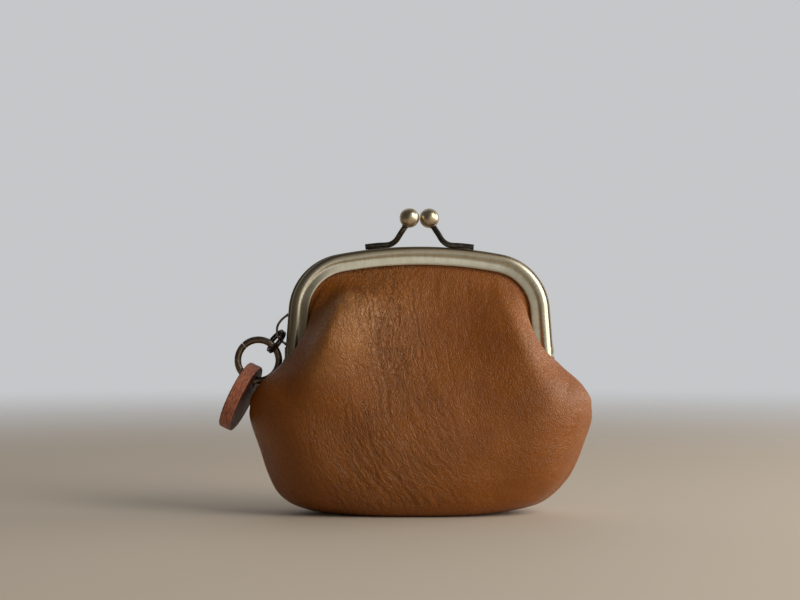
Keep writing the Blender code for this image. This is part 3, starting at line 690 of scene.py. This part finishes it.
def clasp(facing, bronze, polished):
    """A bent arm with its brazed foot, and the ball on its end in a small collar."""
    half, _, rise = HALVES[facing]
    side = facing  # the front half's arm stands on the right, the back half's on the left
    lift = ARM_RADIUS + 0.12
    own_y = -facing * (GAP / 2 + DEPTH / 2)
    low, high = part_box(f"{half}_clasp_ball")
    ball = (low + high) / 2 / MM
    seat = Vector((side * ARM_TOP_X, facing * 0.6, BALL_Z - BALL_RADIUS))
    out = (seat - ball).normalized()
    end = ball + out * (BALL_RADIUS + 0.1)
    foot = [Vector((side * x, own_y, crown(x, rise) + lift))
            for x in (ARM_OUTER_X, (ARM_OUTER_X + ARM_BEND_X) / 2, ARM_BEND_X)]
    knee = Vector((side * (ARM_BEND_X - 2.1), own_y * 0.8, foot[-1].z + 1.3))
    route = route_through([*foot, knee, knee.lerp(end, 0.5), end], 12)
    arm = tube(route, ARM_RADIUS, 28, bevel=0.12)
    seam = [Vector((side * x, own_y, crown(x, rise) + 0.16))
            for x in np.linspace(ARM_OUTER_X - 0.9, ARM_BEND_X + 0.4, 14)]
    swell = 0.62 * np.sin(np.linspace(0.25, pi - 0.25, len(seam))) ** 0.4
    points, faces = joined(arm, tube(seam, swell, 14))
    points[len(arm[0]):, 1] = own_y + (points[len(arm[0]):, 1] - own_y) * BRAZE_SPREAD
    body = half + "_half"
    piece(f"{half}_clasp_arm_bent", points, faces, [bronze], body, [f"{half}_clasp_arm"], "dark_brass",
          sharp=50)

    collar = [(0.12, TIP / 2), (0.12, 1.02), (0.02, 1.12), (-0.2, 1.14)]
    profile = [(BALL_RADIUS + along, radius) for along, radius in collar]
    profile += [(BALL_RADIUS * cos(a), BALL_RADIUS * sin(a) + TIP / 2)
                for a in np.linspace(asin(0.3) + 0.09, pi, 40)]
    points, faces = turned(profile, ball, out, 56)
    near = (points - np.array(ball)) @ np.array(out)
    patina = 0.75 * eased(near, BALL_RADIUS * 0.86, BALL_RADIUS) + 0.12 * eased(near, -1, 3)
    piece(f"{half}_clasp_ball_turned", points, faces, [polished], body, [f"{half}_clasp_ball"], "ball_brass",
          sharp=55, patina=patina)


# ---- Leather and lining ----


def half_ring(section, inset, share, facing, count):
    """Half of a level section, from the left seam round the panel's side to the right seam."""
    height, half_width, right_share, half_depth, fullness, pinch = section
    half_width, half_depth = half_width - inset, half_depth - inset
    x = half_width * np.sin(np.linspace(-pi / 2, pi / 2, RING_STEPS))
    y = half_depth * np.clip(1 - np.abs(x / half_width) ** fullness, 0, 1) ** (1 - 0.1 * fullness)
    side = np.where(np.abs(x) > half_width * 0.5, np.exp(-((y / PINCH_REACH) ** 4)), 0)
    z = height - RIM_DIP * side * share**6
    drawn = (x - np.sign(x) * pinch * side) * np.where(x > 0, right_share, 1)
    return evenly(np.column_stack([drawn, -facing * y, z]), count)


def shoulder_share(fraction):
    """1 at the fold beside each leg, falling to 0 along the frame's crown and to a little at the seam."""
    crest = 0.075
    edge = np.minimum(fraction, 1 - fraction)
    rise, fall = 0.15 + 0.85 * eased(edge, 0, crest), 1 - eased(edge, crest, 0.25)
    return np.where(edge < crest, rise, fall)


def panel_net(facing, inset, channel_y, rim_z, base_z, count, bag_rows, flap_rows):
    """Rows of points from the bottom seam up to the inside of the channel, each left to right."""
    _, outset, rise = HALVES[facing]
    run = distances(SECTIONS[:, :2])
    levels = through(run, SECTIONS, np.linspace(0, run[-1], bag_rows))
    levels_z = base_z + (rim_z - base_z) * levels[:, 0] / SECTIONS[-1, 0]
    rows = [half_ring((z, *level[1:]), inset, level[0] / SECTIONS[-1, 0], facing, count)
            for level, z in zip(levels, levels_z)]
    base = [np.column_stack([rows[0][:, 0] * (0.55 + 0.45 * t), rows[0][:, 1] * t, rows[0][:, 2]])
            for t in np.linspace(0, 1, 9)[:-1]]
    rim = rows[-1]
    up = rim - rows[-3]
    up /= np.linalg.norm(up, axis=1)[:, None]

    stations = arch(MOUTH_END_Z, outset, rise)
    mouth = evenly(stations[:, :2] + stations[:, 2:] * MOUTH_INSET, count)
    inward = evenly(stations, count)[:, 2:]
    inward /= np.hypot(*inward.T)[:, None]
    flat = np.full(count, -facing * channel_y)
    fold = shoulder_share(np.linspace(0, 1, count)) * (1 if inset == 0 else 0.25)

    def from_frame(extra, y, drop=0):
        """A row of points inside the frame, extra further in than the mouth's own inset."""
        x, z = mouth.T + inward.T * extra
        return np.column_stack([x, y, z - drop])

    lip = from_frame(0.9 + 0.3 * fold, flat - facing * (0.35 + 1.55 * fold), 0.7 * fold)
    proud = from_frame(2.6 - 3.6 * fold, flat - facing * (1.1 + 2.2 * fold), 2.6 * fold)
    reach = np.linalg.norm(proud - rim, axis=1)[:, None]
    controls = [rim - up * 3, rim]
    for t in (0.25, 0.5, 0.75):
        point = rim + (proud - rim) * t
        swell = (1 + 0.9 * fold) * sin(pi * t) * np.clip(reach[:, 0] / 12, 0, 1)
        point[:, 1] -= facing * swell
        controls.append(point + up * reach * 0.08 * sin(pi * t))
    controls += [proud, lip, from_frame(0, flat), from_frame(-1.6, flat), from_frame(-4.6, flat)]
    controls = np.array(controls)
    flap = np.array([route_through(controls[:, c], 12)[12:] for c in range(count)])
    flap = np.array([evenly(f, flap_rows) for f in flap]).transpose(1, 0, 2)
    net = np.concatenate([base, rows, flap[1:]], axis=0)
    row = np.arange(len(net))
    near = np.exp(-(((row - (len(base) + len(rows) - 1)) / (len(rows) / 9)) ** 2))
    near += 0.9 * np.exp(-(((row - len(net) + 0.37 * flap_rows) / (0.066 * flap_rows)) ** 2))
    near = near[1:-1, None, None]
    for _ in range(round(SHOULDER_SMOOTHING * bag_rows**2)):
        net[1:-1] += 0.5 * near * ((net[:-2] + net[2:]) / 2 - net[1:-1])
    return net


def ridge(x, z, start, end, across, amount):
    """A soft ridge from one point to another on the panel, seen from its front."""
    (x0, z0), (x1, z1) = start, end
    length = hypot(x1 - x0, z1 - z0)
    dx, dz = (x1 - x0) / length, (z1 - z0) / length
    along = (x - x0) * dx + (z - z0) * dz
    off = (x - x0) * dz - (z - z0) * dx
    t, fade = along / length, RIDGE_FADE
    ends = eased(t, -fade, fade) * (1 - eased(t, 1 - fade, 1 + fade))
    return amount * np.exp(-((off / across) ** 2)) * ends


# Broad ridges and hollows of each side: start, end, half width and height in millimetres. They fade over a
# share of their length at each end.
RIDGE_FADE = 0.35
FRONT_RIDGES = (
    ((-19, 81), (-34, 43), 15, 9.6),
    ((33, 81), (39, 44), 14, 3.8),
    ((29, 79), (50, 42), 6.5, 2.2),
    ((-20, 40), (-10, 20), 9, 0.8),
    ((43, 42), (38, 6), 11, 2),
    ((-42, 34), (-34, 8), 9, 1.7),
)
BACK_RIDGES = (
    ((28, 76), (24, 42), 11, 2.2),
    ((-4, 78), (-8, 44), 13, -2.6),
    ((-33, 72), (-50, 42), 6, 2),
    ((35, 64), (50, 42), 5, 0.9),
    ((-26, 32), (-10, 10), 4, -0.3),
    ((20, 26), (30, 10), 4, 0.3),
)


def broad_relief(net, facing):
    """The ridges and hollows, dying away beside the legs, where the leather lies smooth."""
    x, z = net[..., 0], net[..., 2]
    ridges = FRONT_RIDGES if facing > 0 else BACK_RIDGES
    share = x / np.abs(x).max(axis=1, keepdims=True)
    beside = eased(share, -1, -0.62) * (1 - eased(share, 0.7, 1))
    return sum(ridge(x, z, *item) for item in ridges) * np.maximum(beside, eased(SEAM_TOP_Z - z, 0, 14))


def puckers(x, z):
    """Small upright gathers where the leather comes out of the frame's crown."""
    share = eased(z, 64, 79) * eased(36 - np.abs(x), 0, 12)
    return 0.22 * soft_noise(x / 1.7, z / 14, 31) * share


def folds(flow, share, seed):
    """Fine braided folds along the flow: rounded between narrow grooves, deepest where share is high."""
    u, v = flow[..., 0], flow[..., 1]
    u = u + 1.3 * soft_noise(u * 0.16, v * 0.10, seed) + 0.45 * soft_noise(u * 0.5, v * 0.3, seed + 5)
    coarse = np.exp(-((soft_noise(u / 1.9, v / 17, seed + 9) / 0.2) ** 2))
    close = np.exp(-((soft_noise(u / 1.15, v / 9, seed + 17) / 0.24) ** 2))
    plaits = eased(cell_gap(u / 2.2, v / 11, seed + 29), 0, 0.4) - 1
    patch = 0.6 + 0.4 * soft_noise(u * 0.09, v * 0.06, seed + 23)
    return share * patch * (0.17 * plaits - 0.3 * coarse - 0.19 * close)


def flow_field(net, facing):
    """Coordinates across and along the creases, which fan from the frame's left down to the lower right."""
    x, z = net[..., 0] * facing, net[..., 2]
    lean = 0.16 + 0.34 * eased(60 - z, 0, 55)
    bow = 0.10 * np.sin(x / 17)
    across = x + (z - 40) * (lean + bow)
    along = z - x * 0.25
    depth = np.abs(net[..., 1])
    return np.stack([across, along + 0.4 * depth, depth * 0.8], axis=-1)


def crease_share(net, facing):
    """How strongly the leather is creased: most below the clasp's left side, and on down to the right."""
    x, z = net[..., 0] * facing, net[..., 2]
    off = x - (-13 + (72 - z) * 0.22)
    cluster = np.exp(-((off / 7.5) ** 2)) * eased(z, 36, 58)
    sweep = 0.4 * np.exp(-(((off + 3) / 17) ** 2))
    left = 0.4 * np.exp(-(((off + 24) / 13) ** 2)) * eased(44 - z, 0, 20)
    return np.clip(0.06 + 0.9 * cluster + sweep + left, 0, 1)


def opening_share(net, full_y):
    """How far each point would turn with its frame half: all of it in the channel, none low down or at the
    seam.
    """
    x, y, z = np.abs(net[..., 0]), np.abs(net[..., 1]), net[..., 2]
    full_z = 60 - 8 * eased(x, 24, 40)
    return eased(z, 20, full_z) * eased(y, 0, full_y)


def close_seam(net, outer):
    """Draws the two side columns in to a shallow turned seam at the mating plane."""
    depth = np.abs(net[..., 1])
    groove = 0.45 * np.exp(-((depth / 0.8) ** 2)) * (net[..., 2] < SEAM_TOP_Z)
    return net - outer * groove[..., None]


def facing_out(net, facing):
    """The net's unit normals, turned to point out of the pouch."""
    normals = np.cross(np.gradient(net, axis=1), np.gradient(net, axis=0))
    normals /= np.maximum(np.linalg.norm(normals, axis=2, keepdims=True), 1e-9)
    return -normals if normals[len(net) // 2, net.shape[1] // 2, 1] * facing > 0 else normals


def shell(net, normals, thickness, step, facing):
    """A sheet with a fine outer side and an inner side of every step-th row and column, closed all round."""
    rows, count = net.shape[:2]
    inner = (net - normals * thickness)[::step, ::step]
    inner[..., 1] = np.where(inner[..., 1] * -facing < 0.02, -facing * 0.02, inner[..., 1])
    few_rows, few = inner.shape[:2]
    base = rows * count

    def border(numbers):
        return np.r_[numbers[:, 0], numbers[-1, 1:], numbers[-2::-1, -1], numbers[0, -2::-1]].tolist()

    outside = border(np.arange(base).reshape(rows, count))
    inside = border(base + np.arange(few_rows * few).reshape(few_rows, few))
    outer_faces = grid_faces(rows, count)
    inner_faces = [f[::-1] for f in grid_faces(few_rows, few, start=base)]
    edges = [(*outside[i * step:(i + 1) * step + 1][::-1], *inside[i:i + 2]) for i in range(len(inside) - 1)]
    faces = outer_faces + inner_faces + edges
    if facing < 0:
        faces = [f[::-1] for f in faces]
    index = [0] * len(outer_faces) + [1] * (len(inner_faces) + len(edges))

    def both(values):
        thin = values[::step, ::step]
        return np.concatenate([values.reshape(base, -1), thin.reshape(few_rows * few, -1)]).squeeze()

    return np.vstack([net.reshape(-1, 3), inner.reshape(-1, 3)]), faces, index, both


def panel(facing, layer, points, faces, materials, slot, shares, **fields):
    """A panel that stands for its half's flap, and on the front for the lower body too."""
    half = HALVES[facing][0]
    names = [f"{half}_{layer}_flap"] + ([f"{layer}_body"] if half == "front" else [])
    bodies = ("bag", half + "_half")
    made = piece(f"{half}_{layer}_panel", points, faces, materials, bodies, names, slot, **fields)
    np.asarray(shares, np.float32)


def leather_panel(facing, grain, flesh):
    """One whole side of the pouch, from the bottom seam up into its channel."""
    thickness, *sizes, held = LEATHER
    net = panel_net(facing, *sizes)
    normals = facing_out(net, facing)
    x, z, depth = net[..., 0], net[..., 2], np.abs(net[..., 1])
    flow, share = flow_field(net, facing), crease_share(net, facing)
    row = np.arange(len(net))[:, None] - len(net) + held
    # A painted shadow along the rows where the leather comes out of the frame.
    mouth = 1.5 * np.exp(-((row / 1.3) ** 2))
    free = eased(depth, 3.2, 7.5) * eased(z, 0.2, 5) * (row < 0)
    lumps = soft_noise(x * 0.05, z * 0.05, 3) * 0.4 + soft_noise(x * 0.13, z * 0.13, 7) * 0.13
    bumps = (broad_relief(net, facing) + lumps) * free * eased(depth, 2.5, 11)
    fine = (folds(flow, share, 11 if facing > 0 else 51) + puckers(x, z)) * free
    net = close_seam(net + normals * (bumps + fine)[..., None], normals)
    points, faces, index, both = shell(net, facing_out(net, facing), thickness, 3, facing)
    # Lighter on the high ridges, partly the stretched leather's pull-up and partly a painted sheen, and a
    # little lighter at both sides.
    wear = eased(bumps, 2.2, 6.5) + 0.1 * eased(np.abs(x), 46, 56)
    # Painted shade in the fold grooves, and the painted shadow along the frame's edge.
    groove = np.clip(-fine / 0.3 + mouth, 0, 1)
    panel(facing, "leather", points, faces, [grain, flesh], "tan_leather",
          both(opening_share(net, LEATHER_TURN_Y)), faces_material=index, flow=both(flow),
          crease_share=both(share), wear=both(wear), groove=both(groove))


def lining_panel(facing, cotton):
    """One side of the cotton lining, with soft folds of its own."""
    thickness, *sizes, held = LINING
    net = panel_net(facing, *sizes)
    normals = facing_out(net, facing)
    x, z, depth = net[..., 0], net[..., 2], np.abs(net[..., 1])
    below = np.arange(len(net))[:, None] < len(net) - held
    free = eased(depth, 2.6, 9) * eased(z, 2, 7) * below
    gathers = np.sin(x * 0.42 + 0.003 * z * z) * 0.22 + np.sin(x * 0.21 + z * 0.11 + 1) * 0.3
    shoulder = eased(np.abs(x), 26, 36) * eased(z, 38, 46) * below
    net = net + normals * ((broad_relief(net, facing) - 0.75 - gathers) * free - 0.9 * shoulder)[..., None]
    points, faces, _, both = shell(net, normals, thickness, 1, facing)
    side = np.linspace(-1, 1, net.shape[1]) * 55
    cloth = np.stack([*np.meshgrid(side, distances(net[:, len(side) // 2])), np.zeros(net.shape[:2])], axis=-1)
    panel(facing, "lining", points, faces, [cotton], "lining_cloth", both(opening_share(net, LINING_TURN_Y)),
          cloth=both(cloth))


# ---- Side loop, rings and charm ----


def side_loop(bronze):
    """The thin wire loop on the left leg, with two brazed feet."""
    leg = LEG_X + BACK_OFFSET
    top_x, low_x = (-(leg - (z - LEG_REF_Z) * tan(LEG_FLARE) + LOOP_RADIUS)
                    for z in (LOOP_TOP_Z, LOOP_BOTTOM_Z))
    bends = [(top_x, LOOP_TOP_Z), (top_x - 1.8, LOOP_TOP_Z - 1.5), (top_x - 3.1, LOOP_TOP_Z - 3.4),
             (top_x - 3.3, LOOP_TOP_Z - 5.6), (low_x - 1.86, LOOP_BOTTOM_Z + 1.6), (low_x, LOOP_BOTTOM_Z)]
    wire = tube(route_through([(x, LOOP_Y, z) for x, z in bends], 10), LOOP_RADIUS, 18, bevel=0.05)
    feet = []
    for x, z in (bends[0], bends[-1]):
        profile = [(0.34 * cos(a), 0.62 * sin(a) + TIP / 2) for a in np.linspace(0, pi * 0.6, 8)]
        feet.append(turned(profile, (x + 0.12, LOOP_Y, z), (-1, 0, 0), 18))
    shape = joined(wire, *feet)
    piece("side_loop_wire", *shape, [bronze], "back_half", ["side_loop"], "dark_brass", sharp=60)


def ring_point(angle):
    """The point at an angle on the charm ring's wire."""
    return RING_CENTRE + RING_RADIUS * Vector((cos(angle), 0, sin(angle)))


def charm_ring(bronze):
    """A wire ring with a butt seam."""
    half_gap = RING_SEAM / 2 / RING_RADIUS
    start = RING_SEAM_ANGLE + half_gap
    turns = np.linspace(start, start + tau - 2 * half_gap, 145)
    shape = tube([ring_point(a) for a in turns], RING_WIRE, 26, bevel=0.1)
    piece("charm_ring_wire", *shape, [bronze], "ring", ["charm_ring"], "dark_brass", sharp=60)


def link_ring(bronze):
    """A split ring of two coils."""
    axis = LINK_AXIS.normalized()
    radial = Vector((cos(LINK_ANGLE), 0, sin(LINK_ANGLE)))
    radial = (radial - axis * radial.dot(axis)).normalized()
    centre = ring_point(LINK_ANGLE) + radial * LINK_REACH
    across = axis.cross(radial)
    route = []
    for t in np.linspace(0, 1, 161):
        turn = 2 * tau * t + LINK_START
        lift = LINK_PITCH * (2 * t - 1)
        around = radial * cos(turn) + across * sin(turn)
        route.append(centre + around * LINK_RADIUS + axis * lift)
    shape = tube(route, LINK_WIRE, 18, bevel=0.06)
    piece("link_ring_coils", *shape, [bronze], "link", ["link_ring"], "dark_brass", sharp=60)


def charm(grain, edge):
    """A thick leather disc: smooth faces, a fibrous cut edge and a punched hole."""
    up = Vector((sin(CHARM_LEAN), 0, cos(CHARM_LEAN)))
    level = Vector((cos(CHARM_LEAN), 0, -sin(CHARM_LEAN)))
    normal = level * cos(CHARM_TURN) - Vector((0, sin(CHARM_TURN), 0))
    centre = RING_CENTRE - up * (RING_RADIUS + CHARM_HOLE_OFFSET)
    side = normal.cross(up)
    half, soft = CHARM_THICKNESS / 2, CHARM_ROUNDING
    loop = [("hole", 0, d) for d in np.linspace(-half + 0.15, half - 0.15, 6)]
    top = [("hole", s, half) for s in np.linspace(0.06, 0.94, 16)]
    top += [("rim", 1 - soft / CHARM_RADIUS * (1 - sin(a)), half - soft * (1 - cos(a)))
            for a in np.linspace(0.2, pi / 2, 4)]
    loop += top + [("rim", 1, d) for d in np.linspace(half - soft - 0.15, -half + soft + 0.15, 14)]
    loop += [(kind, share, -d) for kind, share, d in reversed(top)]
    points, around, burnish, torn = [], [], [], []
    for kind, share, d in loop:
        for i in range(CHARM_SIDES):
            a = tau * i / CHARM_SIDES
            c, s = cos(a), sin(a)
            inner = Vector((c * CHARM_HOLE, s * CHARM_HOLE + CHARM_HOLE_OFFSET))
            outer = Vector((c * CHARM_RADIUS, s * CHARM_RADIUS))
            flat = outer * share if kind == "rim" else inner.lerp(outer * 0.985, share)
            rough = noise.noise(Vector((c * 9, s * 9, d * 2.6))) * 0.13
            rough += noise.noise(Vector((c * 26, s * 26, d * 5))) * 0.07
            if kind == "rim":
                flat = flat * (1 + (rough - 0.06) / CHARM_RADIUS)
            wave = noise.noise(Vector((flat.x * 0.3, flat.y * 0.3, d))) * 0.1
            points.append(centre + side * flat.x + up * flat.y + normal * (d + wave * (kind == "hole")))
            around.append((a * CHARM_RADIUS, d, 0))
            burnish.append(0.8 * (1 - eased(d, -half, -half + 0.55)) if kind == "rim" else 0)
            torn.append(kind == "rim" or share == 0)
    faces = grid_faces(len(loop), CHARM_SIDES, wrap=True, wrap_rows=True)
    cut = [int(all(torn[v] for v in face)) for face in faces]
    piece("charm_disc", points, faces, [grain, edge], "charm", ["leather_charm"], "charm_leather",
          faces_material=cut, around=around, burnish=burnish)


# ---- Stage ----


def area_light(name, place, target, size, watts, colour):
    """A soft lamp, which the camera doesn't see, turned towards its target."""
    data = bpy.data.lights.new(name, "AREA")
    data.shape, data.energy, data.color = "RECTANGLE", watts, colour
    data.size, data.size_y = size
    lamp = placed(name, data)
    lamp.location = place
    lamp.visible_camera = False
    lamp.rotation_euler = (Vector(target) - Vector(place)).to_track_quat("-Z", "Y").to_euler()


def stage():
    """A plain pale floor that fades into a pale wall, soft light from the right, and a level camera."""
    mesh = bpy.data.meshes.new("floor")
    rim = [(x, y, 0) for x, y in arc((0, 0), FLOOR_REACH, 0, tau, 96)[:-1]]
    mesh.from_pydata(rim, [], [tuple(range(len(rim)))])
    made, tree, shader = new_material("pale_floor", Roughness=0.75, Base_Color=FLOOR_COLOUR)
    place = add_node(tree, "NewGeometry").outputs["Position"]
    distance = add_node(tree, "VectorMath", {0: place}, operation="LENGTH").outputs["Value"]
    tree.links.new(ranged(distance, *FLOOR_FADE, 1, 0), shader.inputs["Alpha"])
    mesh.materials.append(made)
    placed("floor", mesh)

    scene = bpy.context.scene
    world = scene.world = bpy.data.worlds.new("studio")
    world.use_nodes = True
    tree = world.node_tree
    sky = tree.nodes["Background"]
    toward = add_node(tree, "TexCoord").outputs["Generated"]
    wall, glow = (add_node(tree, "VectorMath", {0: toward, 1: way}, operation="DOT_PRODUCT").outputs["Value"]
                  for way in (TO_WALL, TO_GLOW))
    height = add_node(tree, "SeparateXYZ", {0: toward}).outputs[2]
    low = ranged(math_of("ABSOLUTE", height), 0.2, 0.5, 1, 0.15)
    room = mix(times(ranged(glow, 0.55, 0.75), low), ROOM, GLOW)
    tree.links.new(mix(ranged(wall, -0.1, 0.9), room, WALL), sky.inputs["Color"])
    sky.inputs["Strength"].default_value = 1

    for name, settings in LAMPS.items():
        area_light(name, *settings)

    data = bpy.data.cameras.new("camera")
    data.lens, data.sensor_width = LENS, SENSOR
    camera = scene.camera = placed("camera", data)
    camera.location = CAMERA
    camera.rotation_euler = (pi / 2, 0, 0)
    scene.view_settings.view_transform = "Standard"


def build():
    """All pieces, half by half, and then the rivets, the loop, the rings and the charm."""
    brass, polished = satin_brass(), ball_brass()
    dark = wire_bronze("dark_bronze", (0.20, 0.175, 0.14), (0.07, 0.06, 0.05), 0.26)
    ring = wire_bronze("brown_bronze", (0.34, 0.25, 0.175), (0.13, 0.095, 0.07), 0.22)
    grain, flesh, cotton, paper = tan_leather(), flesh_leather(), cotton_lining(), kraft_paper()
    for facing in HALVES:
        frame_half(facing, brass)
        paper_cord(facing, paper)
        clasp(facing, dark, polished)
        leather_panel(facing, grain, flesh)
        lining_panel(facing, cotton)
    rivet("left_hinge_rivet", -1, dark)
    rivet("right_hinge_rivet", 1, dark)
    side_loop(ring)
    link_ring(wire_bronze("ring_bronze", (0.12, 0.08, 0.055), (0.035, 0.024, 0.018), 0.3))
    charm_ring(ring)
    charm(charm_grain(), charm_edge())


build()
stage()
